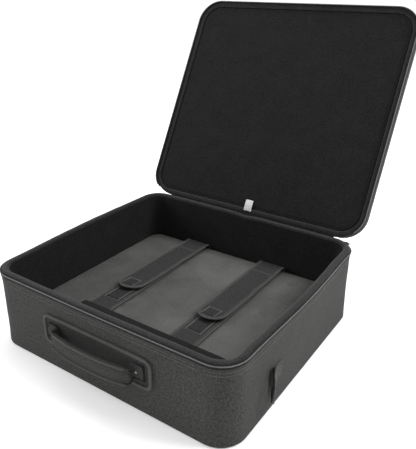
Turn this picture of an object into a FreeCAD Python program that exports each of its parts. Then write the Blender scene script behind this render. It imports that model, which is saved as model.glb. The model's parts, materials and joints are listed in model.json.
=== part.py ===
"""Soft-sided carry case for tabletop miniatures, lid open. Millimetres, +Z up.

The origin is the centre of the tub's underside. +X is to the right along the front wall,
+Y is towards the hinge at the rear. Lid pieces are drawn closed, about the hinge axis, and
then turned open by lid_open degrees.
"""
import FreeCAD, Part
import math
import os
import re
import Sketcher
from FreeCAD import Placement, Rotation, Vector

SIZES = {
    # overall outline of the tub
    "case_width": 430, "case_depth": 394, "corner_round": 38,
    # wall build-up, from the outside in
    "cover_thick": 1.5, "foam_thick": 12.5, "lining_thick": 2,
    # floor build-up, from the table up
    "panel_thick": 2, "board_thick": 3, "floor_lining_thick": 2,
    # rim: plush rolled over the top of the wall foam
    "rim_top": 131, "rim_drop": 9, "rim_plush": 1.5, "rim_round": 5,
    # zip
    "coil_top": 125, "coil_tall": 2, "coil_deep": 1.6, "tape_thick": 0.6, "tape_tall": 7,
    "zip_gap": 2, "zip_end_inset": 1.7, "lid_zip_short": 7, "stop_sweep": 4, "stop_angle": 76,
    # lid, closed: it stands proud of the tub all round and clears the rim
    "lid_overhang": 3, "lid_gap": 1, "lid_rim_thick": 2.5, "lid_rim_wide": 14,
    "lid_foam_thick": 15, "lid_stiff_thick": 2, "lid_panel_thick": 1.3,
    "piping_wide": 1.6, "lid_tape_tall": 6,
    # hinge axis, above the rim and behind the rear wall
    "hinge_rise": 3.5, "hinge_back": 1, "lid_open": 118.8,
    "hinge_wide": 300, "hinge_leaf": 18, "hinge_cloth": 0.8, "hinge_clear": 4,
    # care label sewn in at the hinge
    "label_wide": 15, "label_long": 24, "label_thick": 0.5, "label_shift": 5,
    # contents: foam tray, grey pad, front divider
    "fit_gap": 0.5, "tray_tall": 26, "pad_tall": 17, "pad_cover": 1.2,
    "divider_thick": 12, "divider_long": 246, "divider_top": 115, "divider_round": 9,
    # straps
    "strap_wide": 49, "strap_thick": 2.5, "strap_left": -90, "strap_right": 72,
    "strap_root": 2, "rear_strap_long": 218, "front_strap_long": 263, "anchor_thick": 3,
    "patch_wide": 29, "patch_long": 24, "patch_thick": 0.8, "patch_inset": 9,
    "loop_long": 92, "layer_gap": 0.3,
    # handle on the front wall
    "handle_level": 67.5, "plate_wide": 200, "plate_tall": 49, "plate_thick": 2.5,
    "plate_round": 12, "binding_wide": 5, "binding_thick": 4,
    "tab_long": 24, "tab_thick": 2.5, "tab_start": 64,
    "grip_span": 140, "grip_tall": 28, "grip_thick": 7, "grip_stand": 8.5, "grip_bow": 9,
    "grip_round": 2.5, "grip_drop": 4,
    "rivet_head": 3, "rivet_shank": 1.5, "rivet_out": 75, "rivet_dome": 1.8, "rivet_tail": 1,
    "backing_long": 172, "backing_tall": 34, "backing_thick": 2,
    "washer_half": 4.5, "washer_thick": 0.8,
    # D-ring and its webbing tab, on each side wall
    "ring_level": 47, "ring_back": 97, "ring_wire": 2.2, "ring_half": 23, "ring_corner": 4,
    "ring_swing": 28, "web_tall": 24, "web_top": 65.5, "web_thick": 1.5, "web_long": 27,
    "web_clear": 0.35,
    # zip sliders and pulls
    "slider_angle": 60, "slider_sweep": 14, "slider_wall": 0.8, "slider_clear": 0.3,
    "lug_tall": 3.2, "lug_thick": 1.2, "lug_deep": 4, "pin_half": 0.7, "pin_clear": 0.08,
    "eye_half": 1.6, "eye_wide": 4, "pull_wide": 7, "pull_long": 26, "pull_thick": 1.2,
}

doc = FreeCAD.newDocument("carry_case")
sheet = doc.addObject("Spreadsheet::Sheet", "dims")
for row, (alias, value) in enumerate(SIZES.items(), start=1):
    sheet.set("A%d" % row, alias)
    sheet.set("B%d" % row, str(value))
    sheet.setAlias("B%d" % row, alias)
doc.recompute()

SUBPARTS = []


# ---------------------------------------------------------------- small helpers

def size(alias):
    """The present value of one cell."""
    return float(sheet.get(alias))


def bound(text):
    """An expression in which every alias is read from the sheet."""
    return re.sub("[a-z_]+", lambda m: "dims." + m[0] if m[0] in SIZES else m[0], text)


def bind(obj, prop, text):
    obj.setExpression(prop, bound(text))


def subpart(obj, label):
    """Names an object as one of the case's pieces."""
    obj.Label = label
    SUBPARTS.append(obj)
    return obj


def put(obj, across="0", back="0", up="0"):
    """Binds an object's place."""
    bind(obj, ".Placement.Base.x", across)
    bind(obj, ".Placement.Base.y", back)
    bind(obj, ".Placement.Base.z", up)
    return obj


HINGE_Y = "(case_depth / 2 + hinge_back)"
HINGE_Z = "(rim_top + hinge_rise)"
LID_LEVEL = "(lid_gap - hinge_rise)"
OPEN = Rotation(Vector(1, 0, 0), -size("lid_open"))


def put_on_lid(obj, above, across="0", along="0"):
    """Places a piece drawn on the closed lid's middle, this far above the hinge axis."""
    obj.Placement = Placement(Vector(0, 0, 0), OPEN)
    reach = "(%s - %s)" % (along, HINGE_Y)
    bind(obj, ".Placement.Base.x", across)
    bind(obj, ".Placement.Base.y",
         "%s + %s * cos( lid_open ) + (%s) * sin( lid_open )" % (HINGE_Y, reach, above))
    bind(obj, ".Placement.Base.z",
         "%s - %s * sin( lid_open ) + (%s) * cos( lid_open )" % (HINGE_Z, reach, above))
    return obj


def named(sketch, index, name, text):
    """Names a sketch's constraint and binds it to the sheet."""
    sketch.renameConstraint(index, name)
    bind(sketch, "Constraints." + name, text)


def new_sketch(body, role):
    sketch = body.newObject("Sketcher::SketchObject", "sketch")
    plane = [o for o in body.Origin.OriginFeatures if o.Role == role][0]
    sketch.AttachmentSupport = [(plane, "")]
    sketch.MapMode = "FlatFace"
    return sketch


def rounded_outline(sketch, name, wide, tall, turn, guess):
    """A rounded rectangle centred on the sketch's origin."""
    half_w, half_t, r = guess[0] / 2, guess[1] / 2, guess[2]
    first = sketch.GeometryCount
    corners = [(half_w - r, -half_t + r, -90), (half_w - r, half_t - r, 0),
               (-half_w + r, half_t - r, 90), (-half_w + r, -half_t + r, 180)]
    ends = []
    for cx, cy, start in corners:
        circle = Part.Circle(Vector(cx, cy, 0), Vector(0, 0, 1), r)
        arc = Part.ArcOfCircle(circle, math.radians(start), math.radians(start + 90))
        sketch.addGeometry(arc, False)
        ends.append((arc.StartPoint, arc.EndPoint))
    for k in range(4):
        sketch.addGeometry(Part.LineSegment(ends[k][1], ends[(k + 1) % 4][0]), False)
    for k in range(4):
        line = first + 4 + k
        sketch.addConstraint(Sketcher.Constraint("Tangent", first + k, 2, line, 1))
        sketch.addConstraint(Sketcher.Constraint("Tangent", line, 2, first + (k + 1) % 4, 1))
        sketch.addConstraint(Sketcher.Constraint("Vertical" if k % 2 == 0 else "Horizontal", line))
    for k in range(1, 4):
        sketch.addConstraint(Sketcher.Constraint("Equal", first, first + k))
    sketch.addConstraint(Sketcher.Constraint("Symmetric", first, 3, first + 2, 3, -1, 1))
    radius = sketch.addConstraint(Sketcher.Constraint("Radius", first, r))
    named(sketch, radius, name + "_round", turn)
    across = sketch.addConstraint(Sketcher.Constraint(
        "DistanceX", first + 6, 1, first + 4, 1, 2 * half_w))
    named(sketch, across, name + "_wide", wide)
    along = sketch.addConstraint(Sketcher.Constraint(
        "DistanceY", first + 7, 1, first + 5, 1, 2 * half_t))
    named(sketch, along, name + "_tall", tall)


def pad_sketch(body, sketch, length):
    pad = body.newObject("PartDesign::Pad", "pad")
    pad.Profile = sketch
    bind(pad, "Length", length)
    doc.recompute()
    return pad


def round_edges(body, base, wanted, radius):
    """Fillets the edges of a feature for which wanted(edge) is true."""
    names = ["Edge%d" % (k + 1) for k, edge in enumerate(base.Shape.Edges) if wanted(edge)]
    fillet = body.newObject("PartDesign::Fillet", "fillet")
    fillet.Base = (base, names)
    bind(fillet, "Radius", radius)
    doc.recompute()
    return fillet


def at_height(z):
    """A test for edges that lie flat at this height of their body."""
    return lambda edge: abs(edge.BoundBox.ZMin - z) < 1e-6 and abs(edge.BoundBox.ZMax - z) < 1e-6


def slab(label, wide, tall, turn, thick, guess, role="XY_Plane", keep=True):
    """A plate with a rounded rectangular outline."""
    body = doc.addObject("PartDesign::Body", label)
    sketch = new_sketch(body, role)
    rounded_outline(sketch, "outer", wide, tall, turn, guess)
    pad_sketch(body, sketch, thick)
    if keep:
        subpart(body, label)
    return body


CASE_GUESS = (size("case_width"), size("case_depth"), size("corner_round"))


def case_slab(label, inset, thick, keep=True):
    """A plate with the case's outline, this far inside the cover's face."""
    return slab(label, "case_width - 2 * %s" % inset, "case_depth - 2 * %s" % inset,
                "corner_round - %s" % inset, thick, CASE_GUESS, keep=keep)


def case_ring(label, outer, inner, tall, keep=True):
    """A band that follows the case's outline, between two insets from the cover's face."""
    body = doc.addObject("PartDesign::Body", label)
    sketch = new_sketch(body, "XY_Plane")
    for name, inset in (("outer", outer), ("inner", inner)):
        rounded_outline(sketch, name, "case_width - 2 * %s" % inset, "case_depth - 2 * %s" % inset,
                        "corner_round - %s" % inset, CASE_GUESS)
    pad_sketch(body, sketch, tall)
    if keep:
        subpart(body, label)
    return body


def box(name, wide, deep, tall, across="0", back="0", up="0"):
    """A box centred across and back to front, standing on its level."""
    solid = doc.addObject("Part::Box", name)
    bind(solid, "Length", wide)
    bind(solid, "Width", deep)
    bind(solid, "Height", tall)
    return put(solid, "%s - (%s) / 2" % (across, wide), "%s - (%s) / 2" % (back, deep), up)


def cylinder(name, radius, tall, turned=None):
    solid = doc.addObject("Part::Cylinder", name)
    bind(solid, "Radius", radius)
    bind(solid, "Height", tall)
    if turned:
        solid.Placement = Placement(Vector(0, 0, 0), turned)
    return solid


def cut(name, base, tool):
    solid = doc.addObject("Part::Cut", name)
    solid.Base = base
    solid.Tool = tool
    return solid


def fuse(name, pieces):
    solid = doc.addObject("Part::MultiFuse", name)
    solid.Shapes = pieces
    return solid


def group(label, pieces):
    """Separate solids that share one node."""
    solid = doc.addObject("Part::Compound", label)
    solid.Links = pieces
    return subpart(solid, label)


WALL = "(cover_thick + foam_thick + lining_thick)"
FLOOR = "(panel_thick + board_thick + floor_lining_thick)"
COVER_TOP = "(rim_top - rim_drop)"
ALONG_X = Rotation(Vector(0, 1, 0), 90)
ALONG_Y = Rotation(Vector(1, 0, 0), 90)


# ---------------------------------------------------------------- tub shell

FRONT_FACE = "(0 - case_depth / 2)"
TAB_FACE = "(%s - plate_thick - tab_thick)" % FRONT_FACE
CLAMPED = "(tab_thick + plate_thick + cover_thick + backing_thick + washer_thick)"
RIVET_SIDES = ("(0 - rivet_out)", "rivet_out")


def rivet_holes(name):
    """The two holes, through the front wall's layers, that the handle's rivets fill."""
    holes = []
    for out in RIVET_SIDES:
        hole = cylinder("hole", "rivet_shank", "2 * " + CLAMPED, ALONG_Y)
        holes.append(put(hole, out, "%s + 1.5 * %s" % (TAB_FACE, CLAMPED), "handle_level"))
    return fuse(name, holes)


def handle_pocket(name, thick):
    """The place behind the front cover that the handle's backing plate takes."""
    return box(name, "backing_long", thick, "backing_tall", "0",
               "%s + cover_thick + %s / 2" % (FRONT_FACE, thick),
               "handle_level - backing_tall / 2")


def tub_shell():
    case_slab("tub_bottom_panel", "0", "panel_thick")
    board = case_slab("tub_base_board", "cover_thick", "board_thick")
    put(board, up="panel_thick")
    cover = case_ring("cover_band", "0", "cover_thick", "%s - panel_thick" % COVER_TOP,
                      keep=False)
    put(cover, up="panel_thick")
    subpart(cut("tub_side_cover", cover, rivet_holes("cover_holes")), "tub_side_cover")

    foam = case_ring("foam_band", "cover_thick", "(cover_thick + foam_thick)",
                     "rim_top - rim_plush - panel_thick - board_thick", keep=False)
    put(foam, up="panel_thick + board_thick")
    top = size("rim_top") - size("rim_plush") - size("panel_thick") - size("board_thick")
    round_edges(foam, foam.Tip, at_height(top), "rim_round - rim_plush")
    pocket = handle_pocket("pocket", "(backing_thick + washer_thick + rivet_tail)")
    subpart(cut("tub_wall_foam", foam, pocket), "tub_wall_foam")

    lining = case_ring("tub_wall_lining", "(cover_thick + foam_thick)", WALL,
                       "%s - panel_thick - board_thick" % COVER_TOP)
    put(lining, up="panel_thick + board_thick")
    floor = case_slab("tub_floor_lining", WALL, "floor_lining_thick")
    put(floor, up="panel_thick + board_thick")

    blank = case_ring("rim_blank", "0", WALL, "rim_drop", keep=False)
    put(blank, up=COVER_TOP)
    round_edges(blank, blank.Tip, at_height(size("rim_drop")), "rim_round")
    subpart(cut("tub_rim_cap", blank, foam), "tub_rim_cap")


# ---------------------------------------------------------------- zip halves

def open_at_rear(label, band, behind):
    """Cuts a band where the zip stops at the rear: it runs along the front and the sides."""
    gap = box(label + "_gap", "case_width", "2 * corner_round", "2 * coil_top", back=behind)
    return subpart(cut(label, band, gap), label)


def tub_zip():
    tape = case_ring("tub_tape_band", "(0 - tape_thick)", "0", "tape_tall", keep=False)
    put(tape, up="coil_top + coil_deep / 4 - tape_tall")
    open_at_rear("tub_zip_tape", tape, "case_depth / 2 + corner_round")
    coil = case_ring("tub_coil_band", "(0 - tape_thick - coil_deep)", "(0 - tape_thick)",
                     "coil_tall", keep=False)
    put(coil, up="coil_top - coil_tall")
    open_at_rear("tub_zip_coil", coil, "case_depth / 2 + corner_round - zip_end_inset")


def lid_band(name, outer, inner, tall, above):
    """A band on the lid's outline, ending short of the rear like the zip."""
    body = case_ring(name, "(%s - lid_overhang)" % outer, "(%s - lid_overhang)" % inner, tall,
                     keep=False)
    return put_on_lid(body, above)


def lid_zip():
    low = "(coil_top + zip_gap - %s)" % HINGE_Z
    bands = (("lid_zip_tape", "(0 - tape_thick)", "0", "lid_tape_tall", low + " + coil_tall / 2",
              "lid_zip_short"),
             ("lid_zip_coil", "(0 - tape_thick - coil_deep)", "(0 - tape_thick)", "coil_tall",
              low, "(lid_zip_short + zip_end_inset)"))
    for label, outer, inner, tall, above, inset in bands:
        band = lid_band(label + "_band", outer, inner, tall, above)
        gap = doc.addObject("Part::Box", label + "_gap")
        bind(gap, "Length", "case_width")
        bind(gap, "Width", "2 * corner_round")
        bind(gap, "Height", "2 * lid_tape_tall")
        put_on_lid(gap, above + " - lid_tape_tall / 2", "0 - case_width / 2",
                   "case_depth / 2 + lid_overhang - %s" % inset)
        subpart(cut(label, band, gap), label)


# ---------------------------------------------------------------- lid

def lid_shell():
    lid_edge = "(0 - lid_overhang)"
    foam_inset = "(cover_thick - lid_overhang)"
    foam_level = "%s + lid_rim_thick" % LID_LEVEL
    stiff_level = foam_level + " + lid_foam_thick"
    top_level = stiff_level + " + lid_stiff_thick"

    top = case_slab("lid_top_panel", lid_edge, "cover_thick")
    put_on_lid(top, top_level)
    cover = case_ring("lid_side_cover", lid_edge, foam_inset,
                      "lid_foam_thick + lid_stiff_thick + lid_rim_thick / 2")
    put_on_lid(cover, foam_level + " - lid_rim_thick / 2")
    foam = case_slab("lid_foam_board", foam_inset, "lid_foam_thick")
    put_on_lid(foam, foam_level)
    stiff = case_slab("lid_stiffener", foam_inset, "lid_stiff_thick")
    put_on_lid(stiff, stiff_level)

    rim_inner = "(%s + lid_rim_wide)" % foam_inset
    rim = case_ring("lid_rim_roll", foam_inset, rim_inner, "lid_rim_thick")
    put_on_lid(rim, LID_LEVEL)
    round_edges(rim, rim.Tip, at_height(0), "lid_rim_thick / 2")
    piping_inner = "(%s + piping_wide)" % rim_inner
    piping = case_ring("lid_piping", rim_inner, piping_inner, "piping_wide")
    put_on_lid(piping, foam_level + " - piping_wide")
    panel = case_slab("lid_lining_panel", piping_inner, "lid_panel_thick")
    put_on_lid(panel, foam_level + " - lid_panel_thick")


def hinge_and_label():
    tub_leaf = box("tub_hinge_cloth", "hinge_wide", "hinge_cloth", "hinge_leaf",
                   back="case_depth / 2 + hinge_cloth / 2",
                   up="%s - hinge_clear - hinge_leaf" % HINGE_Z)
    subpart(tub_leaf, "hinge_cloth_tub")
    lid_leaf = doc.addObject("Part::Box", "lid_hinge_cloth")
    bind(lid_leaf, "Length", "hinge_wide")
    bind(lid_leaf, "Width", "hinge_cloth")
    bind(lid_leaf, "Height", "lid_foam_thick")
    put_on_lid(lid_leaf, LID_LEVEL + " + lid_rim_thick", "0 - hinge_wide / 2",
               "case_depth / 2 + lid_overhang")
    subpart(lid_leaf, "hinge_cloth_lid")

    label = doc.addObject("Part::Box", "label")
    bind(label, "Length", "label_wide")
    bind(label, "Width", "label_long")
    bind(label, "Height", "label_thick")
    put_on_lid(label, LID_LEVEL + " - label_thick", "label_shift - label_wide / 2",
               "case_depth / 2 - cover_thick - label_long")
    subpart(label, "care_label")


# ---------------------------------------------------------------- contents

PAD_TOP = "(%s + tray_tall + pad_tall)" % FLOOR
BLOCK_FRONT = "(0 - case_depth / 2 + %s + divider_thick + anchor_thick + 2 * fit_gap)" % WALL
BLOCK_REAR = "(case_depth / 2 - %s - anchor_thick - fit_gap)" % WALL
BLOCK_WIDE = "(case_width - 2 * %s - 2 * fit_gap)" % WALL
BLOCK_DEEP = "(%s - %s)" % (BLOCK_REAR, BLOCK_FRONT)
BLOCK_MIDDLE = "(%s + %s) / 2" % (BLOCK_REAR, BLOCK_FRONT)
BLOCK_ROUND = "(corner_round - %s - fit_gap)" % WALL


def foam_block(label, level, tall, inset="0", keep=True):
    """A layer of the contents that fills the tub's floor between the strap anchors."""
    body = doc.addObject("PartDesign::Body", label)
    sketch = new_sketch(body, "XY_Plane")
    rounded_outline(sketch, "outer", "%s - 2 * %s" % (BLOCK_WIDE, inset),
                    "%s - 2 * %s" % (BLOCK_DEEP, inset), "%s - %s" % (BLOCK_ROUND, inset),
                    CASE_GUESS)
    pad_sketch(body, sketch, tall)
    put(body, back=BLOCK_MIDDLE, up=level)
    if keep:
        subpart(body, label)
    return body


def contents():
    foam_block("foam_tray", FLOOR, "tray_tall")
    pad_level = "%s + tray_tall" % FLOOR
    core = foam_block("pad_core", pad_level + " + pad_cover", "pad_tall - 2 * pad_cover",
                      "pad_cover")
    skin = foam_block("pad_blank", pad_level, "pad_tall", keep=False)
    subpart(cut("pad_cover", skin, core), "pad_cover")

    reach = size("divider_top") - size("panel_thick") - size("board_thick")
    tall = "divider_top - %s" % FLOOR
    sheet_foam = slab("divider_blank", "divider_long", tall, "divider_round", "divider_thick",
                      (size("divider_long"), reach, size("divider_round")), "XZ_Plane", False)
    put(sheet_foam, "case_width / 2 - %s - fit_gap - divider_long / 2" % WALL,
        "0 - case_depth / 2 + %s + fit_gap / 2 + divider_thick" % WALL,
        "%s + (%s) / 2" % (FLOOR, tall))
    room = case_slab("divider_room", "(%s + fit_gap / 2)" % WALL, "rim_top", keep=False)
    divider = doc.addObject("Part::Common", "front_divider")
    divider.Base, divider.Tool = sheet_foam, room
    subpart(divider, "front_divider")


# ---------------------------------------------------------------- straps

FRONT_STRAP_LEVEL = "(%s + layer_gap)" % PAD_TOP
LOOP_LEVEL = "(%s + strap_thick)" % FRONT_STRAP_LEVEL
HOOK_LEVEL = "(%s + patch_thick + layer_gap)" % LOOP_LEVEL
REAR_STRAP_LEVEL = "(%s + patch_thick)" % HOOK_LEVEL
REAR_ROOT = "(%s - strap_root)" % BLOCK_REAR
FRONT_ROOT = "(%s + strap_root)" % BLOCK_FRONT


def strap(label, long, place, root, level, way):
    """A strap that lies flat from its root, with a round free end. way is its direction in Y."""
    body = doc.addObject("PartDesign::Body", label)
    sketch = new_sketch(body, "XY_Plane")
    half = size("strap_wide") / 2
    straight = size(long) - half
    root_line = Part.LineSegment(Vector(-half, 0, 0), Vector(half, 0, 0))
    right = Part.LineSegment(Vector(half, 0, 0), Vector(half, straight, 0))
    circle = Part.Circle(Vector(0, straight, 0), Vector(0, 0, 1), half)
    tip = Part.ArcOfCircle(circle, 0, math.pi)
    left = Part.LineSegment(Vector(-half, straight, 0), Vector(-half, 0, 0))
    for edge in (root_line, right, tip, left):
        sketch.addGeometry(edge, False)
    for rule in (("Coincident", 0, 2, 1, 1), ("Tangent", 1, 2, 2, 1), ("Tangent", 2, 2, 3, 1),
                 ("Coincident", 3, 2, 0, 1), ("Horizontal", 0), ("Vertical", 1), ("Vertical", 3),
                 ("Symmetric", 0, 1, 0, 2, -1, 1)):
        sketch.addConstraint(Sketcher.Constraint(*rule))
    wide = sketch.addConstraint(Sketcher.Constraint("DistanceX", 0, 1, 0, 2, 2 * half))
    named(sketch, wide, "wide", "strap_wide")
    reach = sketch.addConstraint(Sketcher.Constraint("DistanceY", 1, 1, 1, 2, straight))
    named(sketch, reach, "straight", "%s - strap_wide / 2" % long)
    pad_sketch(body, sketch, "strap_thick")
    if way < 0:
        body.Placement = Placement(Vector(0, 0, 0), Rotation(Vector(0, 0, 1), 180))
    put(body, place, root, level)
    return subpart(body, label)


def straps():
    anchors = {"rear": [], "front": []}
    for side in ("left", "right"):
        place = "strap_" + side
        strap("rear_strap_" + side, "rear_strap_long", place, REAR_ROOT, REAR_STRAP_LEVEL, -1)
        tip = "(%s - rear_strap_long)" % REAR_ROOT
        hook = box("hook", "patch_wide", "patch_long", "patch_thick", place,
                   "%s + patch_inset + patch_long / 2" % tip, HOOK_LEVEL)
        subpart(hook, "hook_patch_" + side)

        strap("front_strap_" + side, "front_strap_long", place, FRONT_ROOT,
              FRONT_STRAP_LEVEL, 1)
        loop = box("loop", "patch_wide", "loop_long", "patch_thick", place,
                   "%s - patch_long - patch_inset + loop_long / 2" % tip, LOOP_LEVEL)
        subpart(loop, "loop_patch_" + side)

        for end, back in (("rear", "%s + anchor_thick / 2 + fit_gap / 2" % BLOCK_REAR),
                          ("front", "%s - anchor_thick / 2 - fit_gap / 2" % BLOCK_FRONT)):
            anchors[end].append(box("anchor", "strap_wide", "anchor_thick",
                                    "tray_tall + pad_tall", place, back, FLOOR))
    for end, pieces in anchors.items():
        group("%s_strap_anchors" % end, pieces)


# ---------------------------------------------------------------- handle

def upright(label, wide, tall, turn, thick, guess, inner=None):
    """A rounded plate, or a frame if inner is its width, that stands against the front wall."""
    body = doc.addObject("PartDesign::Body", label)
    sketch = new_sketch(body, "XZ_Plane")
    rounded_outline(sketch, "outer", wide, tall, turn, guess)
    if inner:
        rounded_outline(sketch, "inner", "%s - 2 * %s" % (wide, inner),
                        "%s - 2 * %s" % (tall, inner), "%s - %s" % (turn, inner), guess)
    pad_sketch(body, sketch, thick)
    return put(body, back=FRONT_FACE, up="handle_level")


def handle_fixings():
    guess = (size("plate_wide"), size("plate_tall"), size("plate_round"))
    plate = upright("plate_blank", "plate_wide - 2 * binding_wide",
                    "plate_tall - 2 * binding_wide", "plate_round - binding_wide",
                    "plate_thick", guess)
    subpart(cut("handle_plate", plate, rivet_holes("plate_holes")), "handle_plate")
    border = upright("handle_plate_binding", "plate_wide", "plate_tall", "plate_round",
                     "binding_thick", guess, inner="binding_wide")
    subpart(border, "handle_plate_binding")
    backing = cut("handle_backing", handle_pocket("backing_blank", "backing_thick"),
                  rivet_holes("backing_holes"))
    subpart(backing, "handle_backing")

    tabs, rivets, washers = [], [], []
    cap_round = "(rivet_head * rivet_head / rivet_dome + rivet_dome) / 2"
    clamped_face = "%s + %s" % (TAB_FACE, CLAMPED)
    for out, middle in zip(RIVET_SIDES, ("(0 - tab_start - tab_long / 2)",
                                         "(tab_start + tab_long / 2)")):
        blank = box("tab", "tab_long", "tab_thick", "grip_tall", middle,
                    "%s + tab_thick / 2" % TAB_FACE, "handle_level - grip_tall / 2")
        tabs.append(cut("drilled_tab", blank, rivet_holes("tab_holes")))

        dome = doc.addObject("Part::Sphere", "dome")
        bind(dome, "Radius", cap_round)
        put(dome, out, "%s - rivet_dome + %s" % (TAB_FACE, cap_round), "handle_level")
        space = cylinder("cap_space", "rivet_head", "rivet_dome", ALONG_Y)
        put(space, out, TAB_FACE, "handle_level")
        cap = doc.addObject("Part::Common", "cap")
        cap.Base, cap.Tool = dome, space
        shank = cylinder("shank", "rivet_shank", CLAMPED, ALONG_Y)
        put(shank, out, clamped_face, "handle_level")
        tail = cylinder("tail", "rivet_head", "rivet_tail", ALONG_Y)
        put(tail, out, clamped_face + " + rivet_tail", "handle_level")
        rivets.append(fuse("rivet", [cap, shank, tail]))

        disc = cylinder("disc", "washer_half", "washer_thick", ALONG_Y)
        put(disc, out, clamped_face, "handle_level")
        washers.append(cut("washer", disc, rivet_holes("washer_holes")))
    group("handle_tabs", tabs)
    group("handle_rivets", rivets)
    group("rivet_washers", washers)


def handle_grip():
    grip = doc.addObject("PartDesign::Body", "handle_grip")
    sketch = new_sketch(grip, "XY_Plane")
    half, bow = size("grip_span") / 2, size("grip_bow")
    outer = (half * half + bow * bow) / (2 * bow)
    ends = []
    for radius in (outer, outer - size("grip_thick")):
        lean = math.asin(half / radius)
        circle = Part.Circle(Vector(0, 0, 0), Vector(0, 0, 1), radius)
        arc = Part.ArcOfCircle(circle, -math.pi / 2 - lean, -math.pi / 2 + lean)
        sketch.addGeometry(arc, False)
        ends.append((arc.StartPoint, arc.EndPoint))
    for k in (0, 1):
        sketch.addGeometry(Part.LineSegment(ends[0][k], ends[1][k]), False)
    for rule in (("Coincident", 0, 3, -1, 1), ("Coincident", 1, 3, -1, 1),
                 ("Coincident", 0, 1, 2, 1), ("Coincident", 1, 1, 2, 2),
                 ("Coincident", 0, 2, 3, 1), ("Coincident", 1, 2, 3, 2),
                 ("Vertical", 2), ("Vertical", 3)):
        sketch.addConstraint(Sketcher.Constraint(*rule))
    outer_text = "(grip_span * grip_span / 4 + grip_bow * grip_bow) / (2 * grip_bow)"
    named(sketch, sketch.addConstraint(Sketcher.Constraint("Radius", 0, outer)),
          "outer_round", outer_text)
    named(sketch, sketch.addConstraint(
        Sketcher.Constraint("Radius", 1, outer - size("grip_thick"))),
        "inner_round", outer_text + " - grip_thick")
    named(sketch, sketch.addConstraint(Sketcher.Constraint("DistanceX", 0, 1, -1, 1, half)),
          "left_half", "grip_span / 2")
    named(sketch, sketch.addConstraint(Sketcher.Constraint("DistanceX", -1, 1, 0, 2, half)),
          "right_half", "grip_span / 2")
    pad = pad_sketch(grip, sketch, "grip_tall")
    low, high = at_height(0), at_height(size("grip_tall"))
    round_edges(grip, pad, lambda edge: edge.Length > half and (low(edge) or high(edge)),
                "grip_round")
    put(grip, back="%s - grip_stand - grip_thick - grip_bow + %s" % (FRONT_FACE, outer_text),
        up="handle_level - grip_drop - grip_tall / 2")
    subpart(grip, "handle_grip")


# ---------------------------------------------------------------- D-rings

def ring_and_tab(side, sign):
    """The webbing tab on one side wall, and the D-ring that hangs on a vertical bar in it."""
    wall = "%scase_width / 2" % ("0 - " if sign < 0 else "")
    to_wall = "-" if sign > 0 else "+"
    out = "+" if sign > 0 else "-"
    loop_half = "(ring_wire + web_clear + web_thick)"
    bar_x = "(%s %s %s)" % (wall, out, loop_half)
    bar_y = "(0 - ring_back)"

    tube = cylinder("loop", loop_half, "web_tall")
    put(tube, bar_x, bar_y, "web_top - web_tall")
    flap = box("flap", "2 * web_thick", "web_long", "web_tall",
               "%s %s web_thick" % (wall, out), "%s + web_long / 2" % bar_y,
               "web_top - web_tall")
    bore = cylinder("bore", "ring_wire + web_clear", "2 * web_tall")
    put(bore, bar_x, bar_y, "web_top - 1.5 * web_tall")
    subpart(cut("web", fuse("web_blank", [tube, flap]), bore), "ring_tab_" + side)

    straight = "(ring_half - ring_corner)"
    bar = cylinder("bar", "ring_wire", "2 * " + straight)
    put(bar, up="ring_level - " + straight)
    pieces = [bar]
    for text, radius, sweep, turned, along, up in (
            ("bow", "ring_half", 180, -90, "ring_corner", "ring_level"),
            ("top", "ring_corner", 90, 90, "ring_corner", "ring_level + " + straight),
            ("low", "ring_corner", 90, 180, "ring_corner", "ring_level - " + straight)):
        turn = doc.addObject("Part::Torus", text)
        bind(turn, "Radius1", radius)
        bind(turn, "Radius2", "ring_wire")
        turn.Angle3 = sweep
        turn.Placement = Placement(Vector(0, 0, 0), Rotation(Vector(1, 0, 0), 90)
                                   * Rotation(Vector(0, 0, 1), turned))
        put(turn, along, "0", up)
        pieces.append(turn)
    ring = fuse("ring", pieces)
    swing = -90 + sign * size("ring_swing")
    ring.Placement = Placement(Vector(0, 0, 0), Rotation(Vector(0, 0, 1), swing))
    put(ring, bar_x, bar_y, "0")
    subpart(ring, "d_ring_" + side)


# ---------------------------------------------------------------- zip sliders, pulls and stops

def sector(name, radius, tall, sweep, level):
    """A wedge of a cylinder about the corner's centre, its middle towards +Y."""
    solid = cylinder(name, radius, tall)
    solid.Angle = sweep
    solid.Placement = Placement(Vector(0, 0, 0), Rotation(Vector(0, 0, 1), 90 - sweep / 2))
    return put(solid, up=level)


def on_corner(obj, sign, angle):
    """Turns a piece drawn towards +Y round a rear corner's centre."""
    obj.Placement = Placement(Vector(0, 0, 0), Rotation(Vector(0, 0, 1), -sign * (90 - angle)))
    corner = "case_width / 2 - corner_round"
    return put(obj, corner if sign > 0 else "0 - (%s)" % corner, "case_depth / 2 - corner_round")


SLIDER_LOW = "(coil_top - coil_tall - slider_clear - slider_wall)"
SLIDER_TALL = "(coil_tall + 2 * slider_clear + 2 * slider_wall)"
SLIDER_FACE = "(corner_round + tape_thick + coil_deep + slider_clear + slider_wall)"
PIN_OUT = "(%s + eye_half + slider_clear)" % SLIDER_FACE
PIN_LEVEL = "(coil_top - coil_tall / 2)"


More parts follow.
